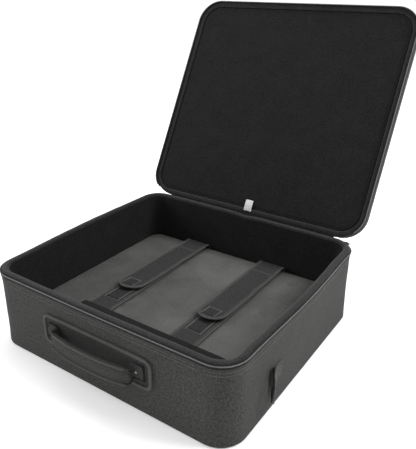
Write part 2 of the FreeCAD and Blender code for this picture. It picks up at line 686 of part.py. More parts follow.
def slider_and_pull(side, sign):
    sweep = size("slider_sweep")
    shell = sector("shell", SLIDER_FACE, SLIDER_TALL, sweep, SLIDER_LOW)
    wall = cylinder("corner_space", "corner_round + tape_thick + slider_clear", "2 * coil_top")
    channel = cylinder("channel", "%s - slider_wall" % SLIDER_FACE,
                       "coil_tall + 2 * slider_clear")
    put(channel, up="%s + slider_wall" % SLIDER_LOW)
    pieces = [cut("hollow_shell", cut("bent_shell", shell, wall), channel)]
    for way in ("0 - ", "0 + "):
        pieces.append(box("lug", "lug_thick", "lug_deep", "lug_tall",
                          "%s (eye_wide / 2 + slider_clear + lug_thick / 2)" % way,
                          "%s - slider_wall / 2 + lug_deep / 2" % SLIDER_FACE,
                          "%s - lug_tall / 2" % PIN_LEVEL))
    pin = cylinder("pin", "pin_half", "eye_wide + 2 * slider_clear + 2 * lug_thick", ALONG_X)
    put(pin, "0 - eye_wide / 2 - slider_clear - lug_thick", PIN_OUT, PIN_LEVEL)
    pieces.append(pin)
    slider = on_corner(fuse("slider", pieces), sign, size("slider_angle"))
    subpart(slider, "zip_slider_" + side)

    eye = cylinder("eye", "eye_half", "eye_wide", ALONG_X)
    put(eye, "0 - eye_wide / 2", PIN_OUT, PIN_LEVEL)
    neck = box("neck", "eye_wide", "pull_thick", "lug_tall", "0", PIN_OUT,
               "%s - lug_tall" % PIN_LEVEL)
    blade = box("blade", "pull_wide", "pull_thick", "pull_long - lug_tall", "0", PIN_OUT,
                "%s - pull_long" % PIN_LEVEL)
    hole = cylinder("pull_hole", "pin_half + pin_clear", "2 * eye_wide", ALONG_X)
    put(hole, "0 - eye_wide", PIN_OUT, PIN_LEVEL)
    pull = cut("pull", fuse("pull_blank", [eye, neck, blade]), hole)
    subpart(on_corner(pull, sign, size("slider_angle")), "zip_pull_" + side)


def zip_stops():
    """Small clips that close the ends of the tub's coil."""
    clips = []
    for sign in (-1, 1):
        tall = "coil_tall + 2 * slider_clear"
        outer = sector("clip", "corner_round + tape_thick + coil_deep", tall,
                       size("stop_sweep"), "coil_top - coil_tall - slider_clear")
        inner = cylinder("clip_space", "corner_round + tape_thick", "2 * coil_top")
        clips.append(on_corner(cut("stop", outer, inner), sign, size("stop_angle")))
    group("zip_stops", clips)


# ---------------------------------------------------------------- build, check and write

tub_shell()
tub_zip()
lid_shell()
lid_zip()
hinge_and_label()
contents()
straps()
handle_fixings()
handle_grip()
for name, sign in (("left", -1), ("right", 1)):
    ring_and_tab(name, sign)
    slider_and_pull(name, sign)
zip_stops()
doc.recompute()

for obj in doc.Objects:
    if "Invalid" in obj.State or "Error" in obj.State:
        raise RuntimeError("%s (%s) did not recompute: %s" % (obj.Label, obj.Name, obj.State))
for obj in SUBPARTS:
    if obj.Shape.isNull() or not obj.Shape.isValid() or obj.Shape.Volume <= 0:
        raise RuntimeError(obj.Label + " has no valid shape")

os.makedirs("parts", exist_ok=True)
for obj in SUBPARTS:
    obj.Shape.exportStep("parts/" + obj.Label + ".step")
print("wrote %d sub-parts" % len(SUBPARTS))
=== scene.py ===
"""Looks of an open padded carry case for tabletop miniatures, built round its CAD frame.

Metres, in the frame's axes: +X to the right along the front wall, +Y to the hinge, +Z up.
Lid pieces are made as they lie on the closed case, and then swung open.
"""
import json
import math

import bmesh
import bpy
import numpy as np
from mathutils import Matrix, Vector


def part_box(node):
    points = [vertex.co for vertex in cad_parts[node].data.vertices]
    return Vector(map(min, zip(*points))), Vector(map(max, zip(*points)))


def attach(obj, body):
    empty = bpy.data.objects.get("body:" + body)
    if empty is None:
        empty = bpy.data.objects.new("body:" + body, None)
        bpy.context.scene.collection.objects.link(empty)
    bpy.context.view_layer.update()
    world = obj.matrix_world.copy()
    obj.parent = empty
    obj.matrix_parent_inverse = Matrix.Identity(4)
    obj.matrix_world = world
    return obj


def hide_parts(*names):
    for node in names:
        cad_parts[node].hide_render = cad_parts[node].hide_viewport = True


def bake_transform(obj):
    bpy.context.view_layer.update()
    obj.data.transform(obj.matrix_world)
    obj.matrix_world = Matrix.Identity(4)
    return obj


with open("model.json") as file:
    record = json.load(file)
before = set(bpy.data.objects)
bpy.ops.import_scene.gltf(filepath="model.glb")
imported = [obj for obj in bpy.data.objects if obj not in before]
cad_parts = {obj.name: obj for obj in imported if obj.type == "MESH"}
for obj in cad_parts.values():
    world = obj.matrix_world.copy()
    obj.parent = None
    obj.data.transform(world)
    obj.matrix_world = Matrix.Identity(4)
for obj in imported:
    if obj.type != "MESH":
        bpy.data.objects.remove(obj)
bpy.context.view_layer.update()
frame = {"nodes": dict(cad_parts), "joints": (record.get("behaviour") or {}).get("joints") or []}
NODES = frame["nodes"]
JOINTS = {joint["name"]: joint for joint in frame["joints"]}

# ------------------------ places, from the frame

def between(node, axis):
    """The middle of a CAD node's box along one axis."""
    low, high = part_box(node)
    return (low[axis] + high[axis]) / 2


HALF_X, HALF_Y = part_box("tub_side_cover")[1].xy
RIM_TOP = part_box("tub_rim_cap")[1].z
TURN = 0.038                       # the tub's corner radius
WALL = 0.016                       # cover, foam and lining together
COVER_TOP = 0.1200                 # where the woven cover ends, under the rim
COIL_MID = between("tub_zip_coil", 2)
COIL_OUT = 0.0014                  # from the cover's face to the middle of the coil
PAD_LOW, PAD_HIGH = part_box("pad_cover")
HINGE = Vector(JOINTS["lid_hinge"]["pos_m"])
LID_OPEN = -JOINTS["lid_hinge"]["range_deg"][0]
LID_X, LID_Y, LID_TURN = HALF_X + 0.003, HALF_Y + 0.003, TURN + 0.003
LID_FACE = HINGE.z - 0.0025        # the height of the closed lid's rim face
SWING = (Matrix.Translation(HINGE) @ Matrix.Rotation(math.radians(-LID_OPEN), 4, "X")
         @ Matrix.Translation(-HINGE))


# ------------------------ meshes

class Shape:
    """Grids of points that become one mesh. Each face keeps a UV in metres and a skin number."""

    def __init__(self):
        self.points, self.faces, self.uvs, self.skins = [], [], [], []
        self.count = 0

    def add(self, points, faces, uvs, skin):
        self.points.append(points)
        self.faces.append(faces + self.count)
        self.uvs.append(uvs)
        self.skins.append(np.full(len(faces), skin))
        self.count += len(points)

    def grid(self, points, across, along, closed=(False, False), skin=0, flat=False):
        """points is rows x columns x 3. across and along are each row's and column's UV."""
        rows, columns = points.shape[:2]
        ids = np.arange(rows * columns).reshape(rows, columns)
        if closed[0]:
            ids = np.concatenate([ids, ids[:1]], 0)
        if closed[1]:
            ids = np.concatenate([ids, ids[:, :1]], 1)
        if flat:
            uv = points.reshape(-1, 3)[ids.ravel(), :2].reshape(*ids.shape, 2)
        else:
            uv = np.stack(np.meshgrid(across, along, indexing="ij"), 2)
        cells = [(slice(None, -1), slice(None, -1)), (slice(1, None), slice(None, -1)),
                 (slice(1, None), slice(1, None)), (slice(None, -1), slice(1, None))]
        faces = np.stack([ids[c] for c in cells], 2).reshape(-1, 4)
        uvs = np.stack([uv[c] for c in cells], 2).reshape(-1, 4, 2)
        self.add(points.reshape(-1, 3), faces, uvs, skin)

    def build(self, name, materials):
        mesh = bpy.data.meshes.new(name)
        mesh.from_pydata(np.concatenate(self.points).tolist(), [],
                         np.concatenate(self.faces).tolist())
        mesh.uv_layers.new(name="cut").data.foreach_set(
            "uv", np.concatenate(self.uvs).astype(np.float32).ravel())
        mesh.polygons.foreach_set("material_index", np.concatenate(self.skins).astype(np.int32))
        for material in materials:
            mesh.materials.append(material)
        work = bmesh.new()
        work.from_mesh(mesh)
        bmesh.ops.remove_doubles(work, verts=work.verts, dist=2e-6)
        bmesh.ops.recalc_face_normals(work, faces=work.faces)
        for face in work.faces:
            face.smooth = True
        work.to_mesh(mesh)
        work.free()
        piece = bpy.data.objects.new(name, mesh)
        bpy.context.scene.collection.objects.link(piece)
        return piece


def lengths(points, closed=False):
    """The distance run at each point of a line."""
    line = np.concatenate([points, points[:1]]) if closed else np.asarray(points)
    return np.concatenate([[0], np.cumsum(np.linalg.norm(np.diff(line, axis=0), axis=1))])


def soften(points, radius, closed=False, steps=5):
    """A line whose corners are rounded off."""
    points = np.asarray(points, float)
    made = []
    count = len(points)
    for k, corner in enumerate(points):
        if not closed and k in (0, count - 1):
            made.append(corner)
            continue
        before, after = points[k - 1] - corner, points[(k + 1) % count] - corner
        one, two = np.linalg.norm(before), np.linalg.norm(after)
        start = corner + before / one * min(radius, one / 2)
        end = corner + after / two * min(radius, two / 2)
        for t in np.linspace(0, 1, steps + 1):
            made.append((1 - t) ** 2 * start + 2 * t * (1 - t) * corner + t * t * end)
    return np.array(made)


def sampled(line, run, at):
    """What a line's columns are at some of the distances run along it."""
    return np.column_stack([np.interp(at, run, line[:, k]) for k in range(line.shape[1])])


def resample(line, step):
    """The same line with points this far apart."""
    run = lengths(line)
    return sampled(line, run, np.linspace(0, run[-1], max(2, int(run[-1] / step) + 1)))


def unit(vectors):
    """The same directions, each one long."""
    return vectors / np.linalg.norm(vectors, axis=1)[:, None]


def slopes(line):
    """The direction of a line at each of its points."""
    return unit(np.gradient(line, axis=0))


def circle(radius, sides):
    """Points round a circle, as a section."""
    turns = np.linspace(0, 2 * math.pi, sides + 1)[:-1]
    return radius * np.column_stack([np.cos(turns), np.sin(turns)])


def rounded(half_x, half_y, turn, step=0.008, arc_steps=12):
    """Points and outward normals round a rounded rectangle, anticlockwise from the front right."""
    corners = ((1, -1, -90), (1, 1, 0), (-1, 1, 90), (-1, -1, 180))
    points, normals = [], []
    for k, (side_x, side_y, start) in enumerate(corners):
        bend = np.radians(np.linspace(start, start + 90, arc_steps + 1))
        out = np.column_stack([np.cos(bend), np.sin(bend)])
        middle = np.array([side_x * (half_x - turn), side_y * (half_y - turn)])
        points.append(middle + turn * out)
        normals.append(out)
        next_x, next_y = corners[(k + 1) % 4][:2]
        first = points[-1][-1]
        last = np.array([next_x * (half_x - turn), next_y * (half_y - turn)]) + turn * out[-1]
        share = np.linspace(0, 1, max(2, int(np.linalg.norm(last - first) / step)) + 1)[1:-1, None]
        points.append(first + (last - first) * share)
        normals.append(np.repeat(out[-1:], len(share), 0))
    return np.concatenate(points), np.concatenate(normals)


def tub_loop(inset=0.0):
    return rounded(HALF_X - inset, HALF_Y - inset, TURN - inset)


def lid_loop(inset=0.0):
    return rounded(LID_X - inset, LID_Y - inset, LID_TURN - inset)


def without_rear(loop, limit, step):
    """The part of a loop in front of a limit in Y, from the rear left, round the front, with
    points a step apart."""
    points, normals = loop
    keep = points[:, 1] < limit
    first = int(np.argmax(keep & ~np.roll(keep, 1)))
    order = np.roll(np.arange(len(points)), -first)[:keep.sum()]
    line = np.column_stack([points[order], normals[order]])
    run = lengths(line[:, :2])
    line = sampled(line, run, np.arange(0, run[-1], step))
    return line[:, :2], unit(line[:, 2:])


def with_ends(points, run):
    """Closes a tube with a row at each end, drawn together at the end's middle."""
    ends = [np.repeat(points[k].mean(0)[None, None], points.shape[1], 1) for k in (0, -1)]
    return np.concatenate([ends[0], points, ends[1]]), np.concatenate([run[:1], run, run[-1:]])


def band(shape, loop, profile, bulge=None, open_ended=False, sag=None):
    """Carries a closed profile of (out, up) points round a loop."""
    points, normals = loop
    profile = np.asarray(profile, float)
    out = np.repeat(profile[None, :, 0], len(points), 0)
    up = np.repeat(profile[None, :, 1], len(points), 0)
    if bulge:
        out = out + bulge(points, normals, up)
    if sag:
        up = up - sag(points, up)
    made = np.concatenate([points[:, None] + normals[:, None] * out[..., None], up[..., None]], 2)
    run = lengths(points, not open_ended)
    if open_ended:
        made, run = with_ends(made, run)
    shape.grid(made, run, lengths(profile, True), (not open_ended, True))


def capped(shape, loop, profile, lift=None, sink=None, rings=18):
    """A closed solid: a profile from the edge of its underside to the edge of its top."""
    points, normals = loop
    profile = np.asarray(profile, float)
    made = np.concatenate([
        points[:, None] + normals[:, None] * profile[None, :, :1],
        np.repeat(profile[None, :, 1:], len(points), 0)], 2)
    shape.grid(made, lengths(points, True), lengths(profile), (True, False))
    for edge, change in ((made[:, 0], sink), (made[:, -1], lift)):
        shrink = 1 - np.linspace(0, 1, rings + 1) ** 1.5
        face = np.repeat(edge[:, None], rings + 1, 1)
        face[..., :2] *= shrink[None, :, None]
        if change:
            face[..., 2] += change(face[..., 0], face[..., 1])
        shape.grid(face, None, None, (True, False), flat=True)


def strip(shape, route, section, across=(0, 0, 1), skin=0):
    """Carries a closed section of (across, out) points along a route. section may be a
    function of the share of the route's length."""
    route = np.asarray(route, float)
    across = np.asarray(across, float)
    out = unit(np.cross(across, slopes(route)))
    run = lengths(route)
    rows = []
    for k, point in enumerate(route):
        here = section(run[k] / run[-1]) if callable(section) else section
        rows.append(point + np.outer(here[:, 0], across) + np.outer(here[:, 1], out[k]))
    rows, run = with_ends(np.array(rows), run)
    middle = section(0.5) if callable(section) else section
    shape.grid(rows, run, lengths(middle, True), (False, True), skin)


def thin_section(across, thick, curl=0.0):
    """A flat tape's closed section. curl raises its edges."""
    high = curl * (across / across[-1]) ** 2
    return np.concatenate([np.column_stack([across, high + thick]),
                           np.column_stack([across, high - thick])[::-1]])


STITCH_RINGS = ((-0.5, 0.35), (-0.3, 1), (0.3, 1), (0.5, 0.35))
STITCH_ROUND = ((1, 0), (0, 1), (-1, 0), (0, -1))


def stitches(shape, line, normals, pitch=0.0034, skin=1, wide=0.00042, tall=0.0003, share=0.66):
    """Dashes of thread along a line, lying on the cloth."""
    line = np.asarray(line, float)
    run = lengths(line)
    count = int(run[-1] / pitch)
    if count < 1:
        return
    at = (np.arange(count) + 0.5) * run[-1] / count
    normals = np.broadcast_to(np.asarray(normals, float), line.shape)
    middle = sampled(line, run, at)
    ahead = unit(sampled(line, run, at + pitch / 4) - sampled(line, run, at - pitch / 4))
    side = unit(np.cross(sampled(normals, run, at), ahead))
    out = np.cross(ahead, side)
    rings = []
    for along, girth in STITCH_RINGS:
        for a, b in STITCH_ROUND:
            rings.append(middle + ahead * along * pitch * share + side * a * girth * wide
                         + out * b * girth * tall)
    points = np.stack(rings, 1)
    faces = [[4 * r + c, 4 * r + (c + 1) % 4, 4 * r + 4 + (c + 1) % 4, 4 * r + 4 + c]
             for r in range(3) for c in range(4)] + [[3, 2, 1, 0], [12, 13, 14, 15]]
    faces = np.array(faces)[None] + (np.arange(count) * 16)[:, None, None]
    uvs = np.zeros((count * 14, 4, 2))
    uvs[..., 0] = np.repeat(at, 14)[:, None]
    shape.add(points.reshape(-1, 3), faces.reshape(-1, 4), uvs, skin)


def lifted(loop, out, up):
    """A line at one offset and height round a loop."""
    points, normals = loop
    flat = points + normals * out
    line = np.column_stack([flat, np.full(len(flat), up)])
    faces = np.column_stack([normals, np.zeros(len(normals))])
    return line, faces


def ripple(x, y, wave, seed=0.0):
    """A smooth uneven field between about -1 and 1, for cloth that isn't quite flat."""
    a, b = 2 * math.pi * x / wave, 2 * math.pi * y / wave
    return (np.sin(a + 1.3 * np.sin(b * 0.7 + seed)) * np.cos(b * 0.9 - 0.8 * np.sin(a * 0.6 + seed))
            + 0.5 * np.sin(1.7 * a - 1.1 * b + 2 * seed)) / 1.5


def fit(piece, slot, body, *nodes):
    """Puts a finished piece on its body, in place of the CAD nodes that it stands for."""
    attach(piece, body)
    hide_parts(*nodes)


# ------------------------ materials

class Nodes:
    """A short way to write a material's nodes."""

    def __init__(self, name, rough, sheen=0.0, metal=0.0, coat=0.0, gloss=0.2):
        self.material = bpy.data.materials.new(name)
        self.material.use_nodes = True
        self.tree = self.material.node_tree
        self.shader = self.tree.nodes["Principled BSDF"]
        self.shader.inputs["Roughness"].default_value = rough
        self.shader.inputs["Metallic"].default_value = metal
        self.shader.inputs["Sheen Weight"].default_value = sheen
        self.shader.inputs["Sheen Roughness"].default_value = 0.45
        self.shader.inputs["Coat Weight"].default_value = coat
        self.shader.inputs["Specular IOR Level"].default_value = gloss

    def add(self, kind, settings=None, **inputs):
        node = self.tree.nodes.new(kind)
        for key, value in (settings or {}).items():
            setattr(node, key, value)
        for key, value in inputs.items():
            key = int(key[1:]) if key[0] == "n" and key[1:].isdigit() else key.replace("_", " ")
            if isinstance(value, bpy.types.NodeSocket):
                self.tree.links.new(value, node.inputs[key])
            else:
                node.inputs[key].default_value = value
        return node

    def math(self, kind, one, two=0.0):
        return self.add("ShaderNodeMath", {"operation": kind}, n0=one, n1=two).outputs[0]

    def total(self, *parts):
        """The sum of (value, weight) pairs."""
        weighed = [self.math("MULTIPLY", value, weight) for value, weight in parts]
        result = weighed[0]
        for value in weighed[1:]:
            result = self.math("ADD", result, value)
        return result

    def uv(self):
        return self.add("ShaderNodeUVMap", {"uv_map": "cut"}).outputs[0]

    def place(self):
        return self.add("ShaderNodeTexCoord").outputs["Object"]

    def noise(self, scale, where, detail=3.0, rough=0.55):
        return self.add("ShaderNodeTexNoise", Vector=where, Scale=scale, Detail=detail,
                        Roughness=rough).outputs[0]

    def spread(self, value, low, high, to_low=0.0, to_high=1.0):
        return self.add("ShaderNodeMapRange", n0=value, n1=low, n2=high, n3=to_low,
                        n4=to_high).outputs[0]

    def mix(self, share, one, two):
        node = self.add("ShaderNodeMix", {"data_type": "RGBA"}, n0=share)
        for socket, value in ((node.inputs[6], one), (node.inputs[7], two)):
            if isinstance(value, bpy.types.NodeSocket):
                self.tree.links.new(value, socket)
            else:
                socket.default_value = (*value, 1)
        return node.outputs[2]

    def colour(self, value):
        self.tree.links.new(value, self.shader.inputs["Base Color"])

    def bump(self, height, depth):
        node = self.add("ShaderNodeBump", Height=height, Distance=depth, Strength=1.0)
        self.tree.links.new(node.outputs[0], self.shader.inputs["Normal"])

    def weave(self, pitch):
        """Height of plain-woven threads: warp and weft take turns on top."""
        split = self.add("ShaderNodeSeparateXYZ", Vector=self.uv())
        u, v = (self.math("MULTIPLY", split.outputs[k], 1 / pitch) for k in (0, 1))
        warp, weft = (self.math("ABSOLUTE", self.math("SINE", self.math("MULTIPLY", run, math.pi)))
                      for run in (u, v))
        turn = self.math("ADD", self.math("FLOOR", u), self.math("FLOOR", v))
        on_top = self.math("PINGPONG", turn, 1.0)
        one = self.math("MULTIPLY", warp, on_top)
        two = self.math("MULTIPLY", weft, self.math("SUBTRACT", 1.0, on_top))
        return self.math("ADD", one, two)


def grey(level, warmth=0.0):
    """A linear grey; warmth tints it towards olive."""
    return level * (1 + warmth), level * (1 + 0.8 * warmth), level * (1 - warmth)


def woven(name, dark, light, pitch=0.0013, depth=0.00035, rough=0.85, sheen=0.04, warmth=0.02):
    """Coarse polyester cloth with uneven threads."""
    g = Nodes(name, rough, sheen)
    threads = g.weave(pitch)
    where = g.uv()
    grain = g.spread(g.noise(0.45 / pitch, where, 2.0), 0.32, 0.68)
    slubs = g.spread(g.noise(0.28 / pitch, where, 3.0, 0.7), 0.36, 0.64)
    patches = g.spread(g.noise(14.0, g.place(), 4.0), 0.3, 0.7)
    share = g.total((threads, 0.25), (grain, 0.55), (slubs, 0.22), (patches, 0.12))
    g.colour(g.mix(g.math("MULTIPLY", share, 0.9), grey(dark, warmth), grey(light, warmth)))
    g.bump(g.math("ADD", threads, g.math("ADD", grain, slubs)), depth)
    return g.material


def plush(name, dark, light, sheen):
    """Short pile that catches the light unevenly."""
    g = Nodes(name, 0.95, sheen, gloss=0.08)
    where = g.place()
    pile = g.noise(480.0, where, 4.0, 0.7)
    brushed = g.spread(g.noise(30.0, where, 5.0, 0.65), 0.3, 0.7)
    share = g.total((g.spread(pile, 0.34, 0.66), 0.8), (brushed, 0.2))
    g.colour(g.mix(share, grey(dark), grey(light)))
    g.bump(g.total((pile, 1.0), (brushed, 0.5)), 0.0006)
    return g.material


def suede(name):
    """Brushed grey cloth: lighter where it has been stroked one way, darker in smudges."""
    g = Nodes(name, 0.9, 0.05, gloss=0.1)
    where = g.place()
    nap = g.noise(1100.0, where, 2.0)
    strokes = g.spread(g.noise(9.0, where, 6.0, 0.6), 0.34, 0.66)
    smudges = g.spread(g.noise(26.0, where, 4.0, 0.6), 0.60, 0.76)
    flecks = g.spread(g.noise(260.0, where, 3.0, 0.7), 0.3, 0.7)
    share = g.total((strokes, 0.55), (flecks, 0.3), (nap, 0.2))
    base = g.mix(share, grey(0.034, 0.03), grey(0.108, 0.02))
    g.colour(g.mix(g.math("MULTIPLY", smudges, 0.55), base, grey(0.040, 0.02)))
    g.bump(g.total((nap, 1.0), (flecks, 0.6)), 0.0004)
    return g.material


def cellular(name, dark, light):
    """Cut closed-cell foam."""
    g = Nodes(name, 0.85, gloss=0.1)
    where = g.place()
    cells = g.add("ShaderNodeTexVoronoi", Vector=where, Scale=700.0).outputs[0]
    g.colour(g.mix(g.spread(cells, 0.0, 0.7), grey(light), grey(dark)))
    g.bump(cells, 0.0005)
    return g.material


def ribbed(name, dark, light, pitch=0.0016):
    """Webbing: ribs across the tape, crossed by fine threads."""
    g = Nodes(name, 0.75, 0.04)
    split = g.add("ShaderNodeSeparateXYZ", Vector=g.uv())
    ribs = g.math("ABSOLUTE", g.math("SINE", g.math("MULTIPLY", split.outputs[0], math.pi / pitch)))
    threads = g.weave(pitch / 2)
    height = g.total((ribs, 1.0), (threads, 0.5))
    wear = g.noise(240.0, g.place(), 3.0)
    share = g.total((height, 0.5), (wear, 0.4))
    g.colour(g.mix(share, grey(dark, 0.02), grey(light, 0.02)))
    g.bump(height, 0.0004)
    return g.material


def hooks(name):
    """Hook-and-loop tape: a dense mat of small bristles."""
    g = Nodes(name, 0.6, 0.05)
    where = g.place()
    dots = g.add("ShaderNodeTexVoronoi", Vector=where, Scale=620.0).outputs[0]
    g.colour(g.mix(g.spread(dots, 0.1, 0.6), grey(0.035), grey(0.006)))
    g.bump(g.math("SUBTRACT", 1.0, dots), 0.0012)
    return g.material


def metal(name, level, rough, coat=0.0, shine=1.0):
    """Plated metal with rubbed patches and fine scratches."""
    g = Nodes(name, rough, 0.0, shine, coat, gloss=0.3)
    where = g.place()
    rubbed = g.spread(g.noise(180.0, where, 4.0), 0.45, 0.75)
    g.colour(g.mix(rubbed, grey(level), grey(min(0.9, level * 1.6 + 0.01))))
    rough_here = g.spread(g.noise(420.0, where, 3.0), 0.3, 0.7, rough * 0.75, rough * 1.35)
    g.tree.links.new(rough_here, g.shader.inputs["Roughness"])
    g.bump(g.noise(900.0, where, 2.0), 0.00006)
    return g.material


def plastic(name, dark, light, rough):
    """Moulded nylon, such as a zip's coil."""
    g = Nodes(name, rough, 0.0, 0.0, 0.2, gloss=0.5)
    tint = g.spread(g.noise(900.0, g.place(), 2.0), 0.3, 0.7)
    g.colour(g.mix(tint, grey(dark), grey(light)))
    g.bump(tint, 0.0001)
    return g.material


def threads(name, dark, light):
    """Sewing thread: two twisted plies."""
    g = Nodes(name, 0.6, 0.08)
    twist = g.noise(2600.0, g.place(), 1.0)
    g.colour(g.mix(g.spread(twist, 0.35, 0.65), grey(dark, 0.02), grey(light, 0.02)))
    g.bump(twist, 0.0002)
    return g.material


def satin(name):
    """White woven label tape, unevenly soiled."""
    g = Nodes(name, 0.5, 0.4)
    fine = g.weave(0.0005)
    soil = g.spread(g.noise(300.0, g.place(), 3.0), 0.35, 0.8)
    g.colour(g.mix(g.total((fine, 0.3), (soil, 0.5)), grey(0.80), grey(0.58)))
    g.bump(fine, 0.00015)
    return g.material


COVER = woven("cover_cloth", 0.004, 0.076)
COVER_SOFT = woven("handle_cloth", 0.006, 0.068, 0.0010)
STRAP = woven("strap_cloth", 0.003, 0.052, 0.0013, 0.0004, 0.85, 0.03, 0.0)
BINDING = ribbed("binding_tape", 0.020, 0.100, 0.0012)
LINING = plush("lining_plush", 0.006, 0.022, 0.04)
# painted shade: a real piping cord, coloured near-black, darker than the lining, to stand for the
# shade in the crease between the lid's lining and its lip
PIPING_CREASE_SHADE = plush("piping_plush", 0.003, 0.009, 0.0)
# painted highlight: the lining's own plush, coloured lighter where it faces up over the rims, as
# though lit; LINING is its darker, shaded copy
RIM_PLUSH_PAINTED_LIGHT = plush("rim_plush", 0.008, 0.036, 0.16)
SUEDE = suede("pad_suede")
FOAM = cellular("black_foam", 0.006, 0.018)
WEBBING = ribbed("tab_webbing", 0.03, 0.11)
TAPE = woven("zip_tape_cloth", 0.002, 0.010, 0.0008, 0.0002)
COIL = plastic("zip_nylon", 0.03, 0.13, 0.4)
THREAD = threads("seam_thread", 0.08, 0.20)
DARK_THREAD = threads("tab_thread", 0.004, 0.016)
PALE_THREAD = threads("patch_thread", 0.16, 0.34)
HOOKS = hooks("hook_tape")
BLACK_METAL = metal("black_plating", 0.005, 0.38, 0.08, 0.1)
NICKEL = metal("rivet_nickel", 0.22, 0.3)
LABEL = satin("label_satin")


# ------------------------ tub

SIDE_BOW, END_BOW = 0.004, 0.0012   # how far the walls belly outwards at the zip


def belly(points, normals, up):
    """The outward lean of the walls, most at mid-length and near the zip."""
    along_y = np.clip(np.abs(points[:, 1]) / (HALF_Y - TURN), 0, 1)
    along_x = np.clip(np.abs(points[:, 0]) / (HALF_X - TURN), 0, 1)
    side = np.abs(normals[:, 0]) > 0.999
    end = np.abs(normals[:, 1]) > 0.999
    reach = np.where(side, SIDE_BOW * (1 - along_y ** 2) ** 2, 0.0)
    reach = np.where(end, END_BOW * (1 - along_x ** 2) ** 2, reach)
    foot = 0.0016 * np.clip(1 - up / 0.05, 0, 1) ** 2
    return reach[:, None] * np.clip(up / COIL_MID, 0, 1) ** 2 + foot


def settle(points, normals, up):
    """The belly, with the slight unevenness of cloth over foam."""
    turn = np.arctan2(points[:, 1], points[:, 0])[:, None]
    fade = np.clip(up / 0.03, 0, 1) * np.clip((0.121 - up) / 0.02, 0, 1)
    return belly(points, normals, up) + 0.0004 * fade * ripple(turn * 0.2, up, 0.09)


def tub_cover():
    shape = Shape()
    loop = tub_loop()
    top = COVER_TOP
    low = soften([(-0.012, 0.0001), (0, 0.0001), (0, 0.02)], 0.0035)
    wall = [(0, z) for z in np.linspace(0.03, top - 0.004, 12)]
    wall += [(0.0003, top - 0.0024), (0.0013, top - 0.0014), (0.0007, top - 0.0003)]
    rest = [(0.0001, top), (-0.0013, top), (-0.0013, 0.06), (-0.0016, 0.004), (-0.012, 0.0014)]
    band(shape, loop, np.concatenate([low, wall, rest]), settle)
    dense = without_rear(loop, 2 * HALF_Y, 0.003)
    for up in (0.1140, 0.1092):
        line, faces = lifted(dense, 0.00025, up)
        line[:, :2] += dense[1] * belly(*dense, line[:, 2:])
        stitches(shape, line, faces, 0.0036)
    cover = shape.build("tub_cover", [COVER, THREAD])
    fit(cover, "cover", "tub", "tub_side_cover")


def bottom_panel():
    shape = Shape()
    inset = 0.0125
    edge = soften([(-0.003, 0.0), (0, 0.0), (0, 0.0022), (-0.003, 0.0022)], 0.0006)
    capped(shape, tub_loop(inset), edge)
    seam = lifted(tub_loop(inset + 0.004), 0, 0.0001)[0]
    stitches(shape, seam, (0, 0, -1), 0.004, tall=0.00009)
    bottom = shape.build("bottom_panel", [COVER, THREAD])
    fit(bottom, "cover", "tub", "tub_bottom_panel", "tub_base_board")


LABEL_X = between("care_label", 0)


def slump(points, up):
    """How far the rim has been pressed down: most along the front, and where the label lies."""
    front = np.clip(0.5 - points[:, 1] / (2.2 * HALF_Y), 0, 1)
    right = np.clip(0.5 + points[:, 0] / (2.2 * HALF_X), 0, 1)
    depth = 0.0044 * np.clip(front ** 1.5 + 0.45 * right, 0, 1.1)
    depth = depth + 0.0020 * np.exp(-((points[:, 0] - LABEL_X) / 0.016) ** 2) * (points[:, 1] > 0)
    start = COVER_TOP - 0.001
    return depth[:, None] * np.clip((up - start) / (RIM_TOP - start), 0, 1.1)


def rim_lining():
    """Plush that rolls over the rim and runs down the inside to the floor."""
    shape = Shape()
    loop = tub_loop()
    top = RIM_TOP + 0.0008
    outer = soften([(-0.0004, 0.1216), (-0.0008, top), (-0.0112, top), (-0.0126, 0.105)], 0.0052,
                   steps=7)
    down = [(-0.0126 - 0.0036 * t, 0.105 - 0.095 * t) for t in np.linspace(0.1, 1, 10)]
    inner = [(-0.0150, 0.0074), (-0.0100, 0.100), (-0.0030, 0.119)]
    path = np.concatenate([outer[:-1], down, inner])

    def pile(points, normals, up):
        turn = np.arctan2(points[:, 1], points[:, 0])[:, None]
        return belly(points, normals, up) + 0.0004 * ripple(turn * 0.2, up, 0.07, 2.0)

    band(shape, loop, path, pile, sag=slump)
    lining = shape.build("rim_lining", [RIM_PLUSH_PAINTED_LIGHT, LINING])
    # painted light: one plush, lighter above this height as a painted highlight on the rim and
    # darker down the inside as painted shade
    for face in lining.data.polygons:
        face.material_index = int(face.center.z < RIM_TOP - 0.013)
    fit(lining, "rim_plush", "tub", "tub_rim_cap", "tub_wall_lining", "tub_wall_foam")


def floor_lining():
    shape = Shape()
    inset = WALL + 0.0004
    capped(shape, tub_loop(inset), [(-0.001, 0.0052), (0, 0.0056), (0, 0.0064), (-0.001, 0.0068)])
    floor = shape.build("floor_lining", [LINING])
    fit(floor, "lining", "tub", "tub_floor_lining")


COIL_PITCH, COIL_RADIUS = 0.0015, 0.00095


def coil(shape, loop, up, bulge=None):
    """A zip's coil: a bead whose girth swells at every turn of the nylon."""
    points, normals = loop
    run = lengths(points)
    centre = points + normals * COIL_OUT
    if bulge:
        centre = centre + normals * bulge(points, normals, np.full((len(points), 1), up))
    girth = COIL_RADIUS * (0.72 + 0.36 * np.abs(np.sin(math.pi * run / COIL_PITCH)))
    section = circle(1, 6)
    flat = centre[:, None] + normals[:, None] * (girth[:, None] * section[:, 0])[..., None]
    high = up + girth[:, None] * section[:, 1]
    made, run = with_ends(np.concatenate([flat, high[..., None]], 2), run)
    shape.grid(made, run, np.arange(7) * COIL_RADIUS, (False, True))


